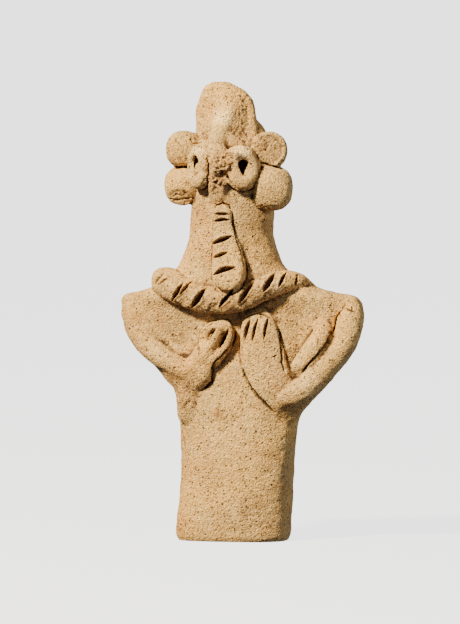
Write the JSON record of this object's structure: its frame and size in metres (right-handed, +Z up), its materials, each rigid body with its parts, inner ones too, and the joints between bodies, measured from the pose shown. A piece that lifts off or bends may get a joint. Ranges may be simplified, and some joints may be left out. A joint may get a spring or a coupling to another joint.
{
  "type": "ancient pillar figurine",
  "caption": "Hand-modelled fired clay figurine with a bird-like face, fan crest, notched necklace and hands at the chest, standing on the flat foot of its pillar body",
  "frame": {"origin": "Middle of the flat-cut underside of the pillar body, in the plane of that underside.", "axes": "+Z up along the figure, -Y is its front (the way its face looks), +X is its own left, to the right in the picture."},
  "size_m": [0.087, 0.0298, 0.1596],
  "materials": {
    "fired_clay": "unglazed, matt, sandy"
  },
  "bodies": {
    "root": {"figurine": "fired_clay"}
  },
  "joints": []
}
